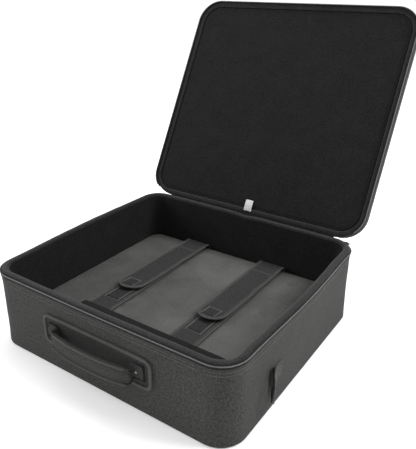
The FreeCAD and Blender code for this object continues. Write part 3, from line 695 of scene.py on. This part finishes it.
def zip_half(body, tape, tape_path, coil_path, coil_level, bulge=None):
    """The cloth tape and the nylon coil on one side of the zip."""
    cloth, nylon = Shape(), Shape()
    band(cloth, tape_path, tape, bulge, open_ended=True)
    coil(nylon, coil_path, coil_level, bulge)
    for piece, slot, node in (
            (cloth.build(body + "_zip_tape_cloth", [TAPE]), "zip_tape", body + "_zip_tape"),
            (nylon.build(body + "_coil", [COIL]), "zip_coil", body + "_zip_coil")):
        if body == "lid":
            swing_open(piece)
        fit(piece, slot, body, node)


def tub_zip():
    loop = tub_loop()
    low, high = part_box("tub_zip_tape")
    tape = [(-0.0004, low.z), (0.0007, low.z + 0.0006), (0.0007, high.z - 0.001),
            (0.0002, high.z), (-0.0004, high.z)]
    zip_half("tub", tape, without_rear(loop, high.y - 0.0002, 0.003),
             without_rear(loop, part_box("tub_zip_coil")[1].y, 0.0003), COIL_MID, belly)


# ------------------------ lid

def swing_open(piece):
    """Turns a piece that was made on the closed lid to where the open lid holds it."""
    piece.data.transform(SWING)
    return piece


def middle_share(x, y, power):
    """1 in the middle of the lid, falling to 0 at its edges."""
    along_x = np.clip(np.abs(x) / LID_X, 0, 1)
    along_y = np.clip(np.abs(y) / LID_Y, 0, 1)
    return (1 - along_x ** power) * (1 - along_y ** power)


def lid_shell():
    base = HINGE.z
    shape = Shape()
    side = soften([(-0.012, base - 0.0002), (0.0004, base - 0.0004), (0.0026, base + 0.007),
                   (0.0010, base + 0.0186), (-0.016, base + 0.0186)], 0.0070, steps=8)

    def crown(x, y):
        share = middle_share(x, y, 4)
        return 0.0012 * share + 0.0003 * share * ripple(x, y, 0.16, 1.0)

    capped(shape, lid_loop(), side, lift=crown, rings=26)
    stitches(shape, lifted(lid_loop(0.017), 0, base + 0.01885)[0], (0, 0, 1), 0.0036)
    shell = swing_open(shape.build("lid_shell", [COVER, THREAD]))
    fit(shell, "cover", "lid", "lid_top_panel", "lid_side_cover", "lid_foam_board",
        "lid_stiffener")


def lid_rim():
    base, face = HINGE.z, LID_FACE
    shape = Shape()
    lip = soften([(0.0010, base + 0.0012), (0.0008, face + 0.0002), (-0.0035, face - 0.0008),
                  (-0.0078, face), (-0.0086, base + 0.0010), (-0.004, base + 0.0016)], 0.0022,
                 closed=True, steps=4)
    band(shape, lid_loop(), lip)
    # painted highlight: the rim roll gets the lighter copy of the lid lining's plush
    rim = swing_open(shape.build("lid_rim", [RIM_PLUSH_PAINTED_LIGHT]))
    fit(rim, "rim_plush", "lid", "lid_rim_roll")


def lid_piping():
    shape = Shape()
    band(shape, lid_loop(), circle(0.0008, 8) + (-0.0092, HINGE.z - 0.0008))
    # painted shade: the cord's near-black colour stands for the crease's shade
    piping = swing_open(shape.build("lid_piping_cord", [PIPING_CREASE_SHADE]))
    fit(piping, "binding", "lid", "lid_piping")


def lid_lining():
    shape = Shape()

    def puff(x, y):
        share = middle_share(x, y, 6)
        return -0.0010 * share - 0.0003 * share * ripple(x, y, 0.14, 3.0)

    edge = soften([(-0.004, LID_FACE + 0.0012), (0, LID_FACE + 0.0016), (0, HINGE.z - 0.0001),
                   (-0.004, HINGE.z - 0.0001)], 0.0008)
    capped(shape, lid_loop(0.0106), edge, sink=puff, rings=26)
    panel = swing_open(shape.build("lid_lining", [LINING]))
    fit(panel, "lining", "lid", "lid_lining_panel")


def lid_zip():
    low, high = HINGE.z - 0.0068, HINGE.z + 0.0006
    limit = LID_Y - 0.0072
    tape = [(0.0001, low), (0.0008, low), (0.0012, high - 0.001), (0.0006, high), (0.0001, high)]
    zip_half("lid", tape, without_rear(lid_loop(), limit, 0.003),
             without_rear(lid_loop(), limit - 0.0015, 0.0003), HINGE.z - 0.0065)


def hinge_cloth():
    """One strip up the rear wall and over the gap on to the lid's rear edge."""
    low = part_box("hinge_cloth_tub")[0]
    half = HALF_X - TURN - 0.004
    wall = HALF_Y + END_BOW + 0.0004
    on_lid = [SWING @ Vector((0, LID_Y + 0.0024, HINGE.z + a)) for a in (0.0010, 0.0060, 0.0120)]
    route = [(wall, low.z), (wall, 0.1235), (wall + 0.0006, 0.1300)]
    route += [(p.y + 0.0012, p.z - 0.0004) for p in on_lid]
    line = resample(soften(route, 0.003), 0.0015)
    line = np.column_stack([np.zeros(len(line)), line])
    shape = Shape()
    across = np.linspace(-half, half, 41)
    strip(shape, line, thin_section(across, 0.0004), across=(1, 0, 0))
    for z in (low.z + 0.003, low.z + 0.0055):
        seam = np.column_stack([across * 0.99, np.full(41, wall + 0.0005), np.full(41, z)])
        stitches(shape, seam, (0, 1, 0), 0.0036)
    cloth = shape.build("hinge_strip", [COVER, THREAD])
    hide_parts("hinge_cloth_tub", "hinge_cloth_lid")
    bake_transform(cloth)


def care_label():
    """A blank white tape, folded double and sewn into the crease of the lid's lip."""
    low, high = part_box("care_label")
    half = (high.x - low.x) / 2
    start = HALF_Y - 0.0004
    route = soften([(start, HINGE.z - 0.0034), (start - 0.004, HINGE.z - 0.0042),
                    (start - 0.012, HINGE.z - 0.0048), (start - 0.0200, HINGE.z - 0.0042)], 0.004)
    line = resample(route, 0.001)
    line = np.column_stack([np.full(len(line), LABEL_X), line])
    section = thin_section(np.linspace(-half, half, 13), 0.00028, 0.0003)
    shape = Shape()
    strip(shape, line, section, across=(1, 0, 0))
    label = swing_open(shape.build("blank_label", [LABEL]))
    fit(label, "label", "lid", "care_label")


# ------------------------ contents

STRAP_X = {side: between("rear_strap_" + side, 0) for side in ("left", "right")}
REAR_LOW, REAR_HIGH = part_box("rear_strap_right")      # the left straps lie alike
FRONT_LOW, FRONT_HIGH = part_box("front_strap_right")
STRAP_HALF = (REAR_HIGH.x - REAR_LOW.x) / 2
PAD_X = PAD_HIGH.x - 0.0006
PAD_Y = (PAD_HIGH.y - PAD_LOW.y) / 2 - 0.0006
PAD_LOOP = rounded(PAD_X, PAD_Y, 0.0215, 0.006)
TO_PAD = Matrix.Translation((0, (PAD_HIGH.y + PAD_LOW.y) / 2, 0))


def grey_pad():
    low, high = PAD_LOW.z + 0.0003, PAD_HIGH.z - 0.0012
    side = soften([(-0.006, low), (0.0004, low), (0.0006, (low + high) / 2), (0.0, high - 0.0012),
                   (-0.010, high)], 0.005, steps=6)

    def face(x, y):
        edge = np.minimum(PAD_X - np.abs(x), PAD_Y - np.abs(y))
        rise = 0.0013 * np.clip((edge - 0.008) / 0.03, 0, 1)
        press = 0.0
        for place in STRAP_X.values():
            away = np.clip((np.abs(x - place) - STRAP_HALF + 0.003) / 0.010, 0, 1)
            press = press - 0.0004 * (1 - away) ** 2 * np.clip((edge - 0.010) / 0.02, 0, 1)
        return rise + press + 0.00025 * ripple(x, y, 0.085, 1.0) * np.clip(edge / 0.03, 0, 1)

    shape = Shape()
    capped(shape, PAD_LOOP, side, lift=face, rings=64)
    piece = shape.build("grey_pad", [SUEDE])
    piece.data.transform(TO_PAD)
    fit(piece, "grey_suede", "tub", "pad_cover", "pad_core")


def foam_block():
    low, high = (corner.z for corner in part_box("foam_tray"))
    shape = Shape()
    edge = soften([(-0.004, low), (0, low), (0, high), (-0.004, high - 0.0002)], 0.0018)
    capped(shape, PAD_LOOP, edge)
    tray = shape.build("foam_block", [FOAM])
    tray.data.transform(TO_PAD)
    fit(tray, "foam", "tub", "foam_tray")


def divider():
    low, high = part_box("front_divider")
    half_x, half_z = (high.x - low.x) / 2, (high.z - low.z) / 2
    thick = high.y - low.y
    proud = 0.0015                     # stands this much above its CAD block
    loop = rounded(half_x, half_z + proud, 0.0095, 0.004, 10)
    shape = Shape()
    face = soften([(-0.003, 0.0), (0, 0.0), (0, thick), (-0.003, thick)], 0.0022)
    capped(shape, loop, face, lift=lambda x, y: 0.0002 * ripple(x, y, 0.05),
           sink=lambda x, y: 0.0002 * ripple(x, y, 0.05, 1.0))
    piece = shape.build("foam_divider", [FOAM])
    place = (between("front_divider", 0), high.y, between("front_divider", 2) + proud)
    piece.data.transform(Matrix.Translation(place) @ Matrix.Rotation(math.radians(90), 4, "X"))
    fit(piece, "foam", "tub", "front_divider")


# ------------------------ straps

STRAP_SKINS = [STRAP, BINDING, THREAD, HOOKS, PALE_THREAD]
SEWN, HOOKED, PALE = 2, 3, 4          # the numbers of the last three
TAPE_HALF = (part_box("hook_patch_right")[1].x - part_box("hook_patch_right")[0].x) / 2
# (inset from the edge, height of the upper face over the middle, skin): the bound edge first
STRAP_FACE = ((0.0, 0.0, 1), (0.0003, 0.0010, 1), (0.0010, 0.0017, 1), (0.0022, 0.0018, 1),
              (0.0030, 0.0013, 1), (0.0034, 0.0007, 0), (0.0042, 0.0008, 0), (0.0060, 0.0011, 0),
              (0.0120, 0.00115, 0), (STRAP_HALF, 0.0012, 0))


def tongue(shape, route, way, place):
    """A strap with bound edges and a round tip, laid along a route of (y, z) points."""
    line = resample(route, 0.002)
    run = lengths(line)
    slope = slopes(line)
    straight = run[-1] - STRAP_HALF
    along = np.linspace(0, straight, int(straight / 0.004) + 2)
    bend = np.linspace(0, math.pi, 25)[1:-1]

    def laid(across, reach, high):
        y = np.interp(reach, run, line[:, 0])
        z = np.interp(reach, run, line[:, 1])
        out_y = np.interp(reach, run, -slope[:, 1]) * way
        out_z = np.interp(reach, run, slope[:, 0]) * way
        return np.stack([place + across, y + out_y * high, z + out_z * high], -1)

    def ring(inset, high):
        width = STRAP_HALF - inset
        across = np.concatenate([np.full(len(along), width), width * np.cos(bend),
                                 np.full(len(along), -width)])
        reach = np.concatenate([along, straight + width * np.sin(bend), along[::-1]])
        return across, laid(across, reach, np.full(len(across), high)), reach

    columns = [(inset, -high * 0.9, skin) for inset, high, skin in STRAP_FACE[::-1]]
    columns += list(STRAP_FACE[1:])
    for one, two in zip(columns, columns[1:]):
        first, second = ring(*one[:2]), ring(*two[:2])
        points = np.stack([first[1], second[1]], 1)
        shape.grid(points, first[2], [one[0], two[0]], (False, False), max(one[2], two[2]))
    insets, highs = np.array([column[:2] for column in columns]).T
    widths = np.concatenate([STRAP_HALF - insets, insets[::-1] - STRAP_HALF])
    root = laid(widths, np.zeros(len(widths)), np.concatenate([highs, highs[::-1]]))
    shape.grid(np.stack([root, np.repeat(root.mean(0)[None], len(root), 0)], 1),
               np.arange(len(root) + 1) * 0.001, [0, 0.001], (True, False))

    across, points, reach = ring(0.0052, 0.00125)      # a seam inside the bound edge
    flat = np.zeros(len(across))
    stitches(shape, points, laid(across, reach, flat + 1) - laid(across, reach, flat), 0.0034,
             SEWN)
    return laid, run[-1]


def patch(shape, laid, start, long, half, base, thread, thick=0.0011):
    """A square of hook or loop tape sewn on a strap. thread is the skin of its stitches."""
    count = 13
    across = np.linspace(-half, half, count)
    reach = np.linspace(start, start + long, count)
    grid_a, grid_r = np.meshgrid(across, reach, indexing="ij")
    edge = np.minimum(half - np.abs(grid_a), np.minimum(grid_r - start, start + long - grid_r))
    high = base + thick * np.clip(edge / 0.0012, 0, 1) ** 0.5
    top = laid(grid_a, grid_r, high)
    under = laid(grid_a, grid_r, np.full_like(grid_a, base - 0.0003))
    shape.grid(top, across, reach, skin=HOOKED)
    shape.grid(under[::-1], across[::-1], reach, skin=HOOKED)
    for rim_top, rim_low in ((top[0], under[0]), (top[-1], under[-1]), (top[:, 0], under[:, 0]),
                             (top[:, -1], under[:, -1])):
        shape.grid(np.stack([rim_top, rim_low], 1), reach, [0, 0.001], skin=HOOKED)
    none = np.zeros(count)
    outward = laid(none, reach, none + 1) - laid(none, reach, none)
    for side in (-1, 1):
        line = laid(np.full(count, side * (half - 0.0012)), reach, np.full(count, base + thick))
        stitches(shape, line, outward, 0.003, thread, 0.00055, 0.0004, 0.8)
    cross = laid(across, np.full(count, start + 0.0012), np.full(count, base + thick))
    stitches(shape, cross, outward[:1], 0.003, thread, 0.0004, 0.0003, 0.7)


def front_strap(side, place):
    """Lies flat on the pad, with its loop tape half under the rear strap's tip."""
    anchor, level = between("front_strap_anchors", 1), between("front_strap_right", 2)
    root, tip = FRONT_LOW.y, FRONT_HIGH.y
    sewn, flat = 0.014, level + 0.0002
    route = soften([(anchor, sewn), (anchor, flat - 0.0005), (anchor + 0.008, flat),
                    (0.02, flat), (tip - 0.03, flat), (tip, flat + 0.0006)], 0.006)
    shape = Shape()
    laid, whole = tongue(shape, route, 1, place)
    to_pad = flat - sewn + (root - anchor)
    low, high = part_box("loop_patch_" + side)
    patch(shape, laid, low.y - root + to_pad, high.y - low.y, TAPE_HALF, 0.0011, PALE, 0.0008)
    piece = shape.build("front_strap_cloth_" + side, STRAP_SKINS)
    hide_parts("front_strap_" + side, "loop_patch_" + side, "front_strap_anchors")
    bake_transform(piece)


def rear_strap(side, place):
    """Lies over the front strap, with its tip sprung up."""
    anchor, level = between("rear_strap_anchors", 1), between("rear_strap_right", 2)
    root, tip, under = REAR_HIGH.y, REAR_LOW.y, FRONT_HIGH.y
    route = soften([(anchor, 0.012), (anchor, level - 0.0016), (anchor - 0.009, level - 0.0004),
                    (under + 0.012, level - 0.0006), (under - 0.015, level + 0.0002),
                    (0.030, level + 0.0002), (tip + 0.030, level + 0.0012),
                    (tip, level + 0.0048)], 0.010, steps=8)
    shape = Shape()
    laid, whole = tongue(shape, route, -1, place)
    low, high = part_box("hook_patch_" + side)
    long = high.y - low.y
    start = whole - (low.y - tip) - long
    patch(shape, laid, start, long, TAPE_HALF - 0.002, 0.0011, PALE)

    def beneath(across, reach, high_up):
        return laid(across, reach, -np.asarray(high_up))

    patch(shape, beneath, start, long, TAPE_HALF, 0.0010, SEWN, 0.0009)
    across = np.linspace(-STRAP_HALF + 0.006, STRAP_HALF - 0.006, 9)
    for reach in (whole - 0.178, whole - 0.181):
        line = laid(across, np.full(9, reach), np.full(9, 0.0013))
        stitches(shape, line, (0, 0, 1), 0.0034, SEWN)
    piece = shape.build("rear_strap_cloth_" + side, STRAP_SKINS)
    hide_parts("rear_strap_" + side, "hook_patch_" + side, "rear_strap_anchors")
    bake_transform(piece)


# ------------------------ handle

def bound_section(half, thick, ridge, bead=0.0026):
    """A padded band's section: a bound ridge along both edges of its outer face."""
    edge = [(half, 0), (half, thick / 2 + ridge * 0.5), (half - bead * 0.4, thick / 2 + ridge),
            (half - bead, thick / 2 + ridge * 0.6), (half - bead * 1.25, thick / 2 - 0.0010),
            (half - bead * 1.6, thick / 2 - 0.0006), (half - bead * 2.4, thick / 2 + 0.0001),
            (half * 0.3, thick / 2 + 0.0006)]
    outer = edge + [(-a, o) for a, o in edge[::-1]]
    inner = [(-half + 0.0008, -thick / 2), (0, -thick / 2 - 0.0002), (half - 0.0008, -thick / 2)]
    return np.array(outer + inner) * (1, -1)


PLATE_LOW, PLATE_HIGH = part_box("handle_plate_binding")
PLATE_X, PLATE_Z = PLATE_HIGH.x, (PLATE_HIGH.z - PLATE_LOW.z) / 2
STAND_UP = (Matrix.Translation((0, PLATE_HIGH.y, between("handle_plate_binding", 2)))
            @ Matrix.Rotation(math.radians(90), 4, "X"))


def handle_panel():
    shape = Shape()
    loop = rounded(PLATE_X - 0.0040, PLATE_Z - 0.0040, 0.008, 0.004)
    face = soften([(-0.004, 0.0), (0, 0.0), (0, 0.0018), (-0.004, 0.0020)], 0.0006)
    capped(shape, loop, face, lift=lambda x, y: 0.0003 * np.cos(x / 0.095 * 1.5) * np.cos(y / 0.02))
    piece = shape.build("handle_panel", [COVER_SOFT])
    piece.data.transform(STAND_UP)
    fit(piece, "cover", "tub", "handle_plate", "handle_backing")


def handle_border():
    shape = Shape()
    loop = rounded(PLATE_X, PLATE_Z, 0.012, 0.004)
    roll = soften([(0, 0.0), (0, 0.0034), (-0.0022, 0.0042), (-0.0052, 0.0036), (-0.0056, 0.0014),
                   (-0.0050, 0.0)], 0.0012, closed=True, steps=3)
    band(shape, loop, roll)
    for inset in (0.0012, 0.0042):
        seam = rounded(PLATE_X - inset, PLATE_Z - inset, 0.012 - inset, 0.003)
        stitches(shape, lifted(seam, 0, 0.00385)[0], (0, 0, 1), 0.0032)
    piece = shape.build("handle_border", [BINDING, THREAD])
    piece.data.transform(STAND_UP)
    fit(piece, "binding", "tub", "handle_plate_binding")


def off_wall(line):
    """Which way a level band faces at each point: away from the wall."""
    return -np.cross((0, 0, 1), slopes(line))


def grip_band():
    tab_low, tab_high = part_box("handle_tabs")
    grip_low, grip_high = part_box("handle_grip")
    level, tab_y = between("handle_grip", 2), between("handle_tabs", 1)
    end_x = grip_high.x
    back_y = grip_high.y
    bow = grip_low.y + 0.0035
    half_route = [(tab_high.x, tab_y, level + 0.004), (0.0725, tab_y - 0.0002, level + 0.004),
                  (0.0690, tab_y - 0.0010, level + 0.003), (0.0700, back_y - 0.0004, level + 0.001),
                  (end_x + 0.0016, back_y - 0.0052, level), (0.054, bow + 0.0038, level),
                  (0.028, bow + 0.0006, level)]
    route = [(-x, y, z) for x, y, z in half_route] + [(0, bow, level)] + half_route[::-1]
    line = resample(soften(route, 0.004, steps=6), 0.0016)
    run = lengths(line)
    tall = (grip_high.z - grip_low.z) / 2

    def section(share):
        reach = abs(share - 0.5) * run[-1]
        arm = run[-1] / 2 - 0.030
        thick = 0.0022 + 0.0030 * float(np.clip((arm - reach) / 0.010, 0, 1))
        return bound_section(tall - 0.0016 * float(np.clip((reach - arm) / 0.006, 0, 1)), thick,
                             0.0012)

    shape = Shape()
    strip(shape, line, section)
    edge = line[(np.abs(line[:, 0]) < end_x - 0.002) & (line[:, 1] < back_y - 0.004)]
    sewn = line[(np.abs(line[:, 0]) < 0.066) & (line[:, 1] < back_y - 0.003)]
    for way in (1, -1):
        bead = edge + off_wall(edge) * 0.0032 + (0, 0, way * (tall - 0.0016))
        strip(shape, bead, circle(0.0013, 8), skin=2)
    for way in (1, -1):
        seam = sewn + off_wall(sewn) * 0.0031 + (0, 0, way * (tall - 0.0042))
        stitches(shape, seam, off_wall(sewn))
    for side in (-1, 1):
        for x in (0.0835, 0.0675):
            seam = [(side * x, tab_low.y + 0.0001, level + 0.004 + z)
                    for z in np.linspace(-0.012, 0.012, 9)]
            stitches(shape, seam, (0, -1, 0), 0.003)
    piece = shape.build("grip_band", [COVER_SOFT, THREAD, BINDING])
    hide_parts("handle_grip", "handle_tabs")
    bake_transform(piece)


# ------------------------ ring tabs

def ring_tab(side):
    sign = 1 if side == "right" else -1
    low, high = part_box("ring_tab_" + side)
    wall = sign * HALF_X
    pivot = JOINTS["ring_%s_swing" % side]["pos_m"]
    turn = 0.0033
    half = (high.z - low.z) / 2
    loop = [(pivot[0] + sign * turn * math.cos(a), pivot[1] - turn * math.sin(a), 0)
            for a in np.radians(np.linspace(-60, 215, 16)[:-1])]
    far = high.y - 0.0004
    route = [(wall + sign * 0.0022, far, 0), (wall + sign * 0.0022, pivot[1] + 0.010, 0)]
    route += loop
    route += [(wall + sign * 0.0007, pivot[1] + 0.007, 0), (wall + sign * 0.0007, far, 0)]
    line = resample(soften(np.array(route), 0.002), 0.0009)
    line[:, 2] += between("ring_tab_" + side, 2)
    section = soften([(half, 0.0006), (-half, 0.0006), (-half, -0.0006), (half, -0.0006)], 0.0005,
                     closed=True, steps=2)
    shape = Shape()
    strip(shape, line, section)
    face = wall + sign * 0.0031
    a, b = far - 0.0022, pivot[1] + 0.0085
    top, base = high.z - 0.0026, low.z + 0.0026
    corners = [(a, top), (b, top), (b, base), (a, base)]
    sides = list(zip(corners, corners[1:] + corners[:1]))
    for one, two in sides + [(corners[0], corners[2]), (corners[1], corners[3])]:
        share = np.linspace(0, 1, 8)[:, None]
        seam = np.array(one) + (np.array(two) - np.array(one)) * share
        stitches(shape, np.column_stack([np.full(8, face), seam]), (sign, 0, 0), 0.0026)
    piece = shape.build("web_tab_" + side, [WEBBING, DARK_THREAD])
    fit(piece, "webbing", "tub", "ring_tab_" + side)


# ------------------------ CAD pieces that stay

def dress(node, material):
    """Gives a CAD piece its finish."""
    mesh = NODES[node].data
    mesh.materials.clear()
    mesh.materials.append(material)
    mesh.shade_smooth()
    mesh.set_sharp_from_angle(angle=math.radians(35))


# ------------------------ stage, light and camera

def studio():
    size = 40.0
    mesh = bpy.data.meshes.new("floor")
    mesh.from_pydata([(-size, -size, 0), (size, -size, 0), (size, size, 0), (-size, size, 0)], [],
                     [(0, 1, 2, 3)])
    g = Nodes("floor_paint", 0.9)
    g.colour(g.mix(g.noise(0.4, g.place(), 1.0), grey(0.93), grey(0.90)))
    g.shader.inputs["Emission Color"].default_value = (1, 1, 1, 1)
    g.shader.inputs["Emission Strength"].default_value = 0.25
    mesh.materials.append(g.material)
    floor = bpy.data.objects.new("floor", mesh)
    floor.location.z = -0.0002
    bpy.context.scene.collection.objects.link(floor)

    # a white sweep behind the case, and a dimmer room in front of it
    world = bpy.data.worlds.new("studio")
    world.use_nodes = True
    tree = world.node_tree
    where = tree.nodes.new("ShaderNodeTexCoord")
    facing = tree.nodes.new("ShaderNodeVectorMath")
    facing.operation = "DOT_PRODUCT"
    facing.inputs[1].default_value = (-0.54, 0.81, 0.22)
    level = tree.nodes.new("ShaderNodeMapRange")
    for socket, value in zip(list(level.inputs)[1:5], (-0.6, 0.45, 0.45, 1.10)):
        socket.default_value = value
    tree.links.new(where.outputs["Generated"], facing.inputs[0])
    tree.links.new(facing.outputs["Value"], level.inputs[0])
    tree.links.new(level.outputs[0], tree.nodes["Background"].inputs[1])
    tree.nodes["Background"].inputs[0].default_value = (1, 1, 1, 1)
    bpy.context.scene.world = world
    target = Vector((0, 0, 0.08))
    for name, place, wide, power in (("key", (1.5, 0.7, 1.7), 0.7, 32.0),
                                     ("left", (-1.7, -1.2, 0.9), 0.9, 15.0),
                                     ("top", (-0.3, 0.5, 2.4), 1.4, 13.0)):
        light = bpy.data.lights.new(name, "AREA")
        light.size = wide
        light.energy = power
        lamp = bpy.data.objects.new(name, light)
        lamp.location = place
        lamp.rotation_euler = (target - Vector(place)).to_track_quat("-Z", "Y").to_euler()
        bpy.context.scene.collection.objects.link(lamp)
    bpy.context.scene.view_settings.view_transform = "Standard"


def camera():
    """Stands to the right of the front, looking down into the open case."""
    azimuth, elevation, roll = (math.radians(a) for a in (34.01, 23.42, 0.29))
    back = Vector((math.sin(azimuth) * math.cos(elevation),
                   -math.cos(azimuth) * math.cos(elevation), math.sin(elevation)))
    right = Vector((0, 0, 1)).cross(back).normalized()
    up = back.cross(right)
    right, up = (right * math.cos(roll) + up * math.sin(roll),
                 up * math.cos(roll) - right * math.sin(roll))
    data = bpy.data.cameras.new("camera")
    data.sensor_width = 36.0
    data.lens = 44.16
    data.shift_x = 0.0016
    data.shift_y = -0.0160
    data.clip_start = 0.01
    view = bpy.data.objects.new("camera", data)
    turn = Matrix((right, up, back)).transposed().to_4x4()
    view.matrix_world = Matrix.Translation((0.4675, -0.6214, 0.5291)) @ turn
    bpy.context.scene.collection.objects.link(view)
    bpy.context.scene.camera = view


camera()
tub_cover()
bottom_panel()
rim_lining()
floor_lining()
tub_zip()
lid_shell()
lid_rim()
lid_piping()
lid_lining()
lid_zip()
hinge_cloth()
care_label()
grey_pad()
foam_block()
divider()
for side, place in STRAP_X.items():
    front_strap(side, place)
    rear_strap(side, place)
handle_panel()
handle_border()
grip_band()
for side in ("left", "right"):
    ring_tab(side)
    for node in ("d_ring_", "zip_slider_", "zip_pull_"):
        dress(node + side, BLACK_METAL)
dress("zip_stops", BLACK_METAL)
dress("handle_rivets", NICKEL)
dress("rivet_washers", NICKEL)
studio()
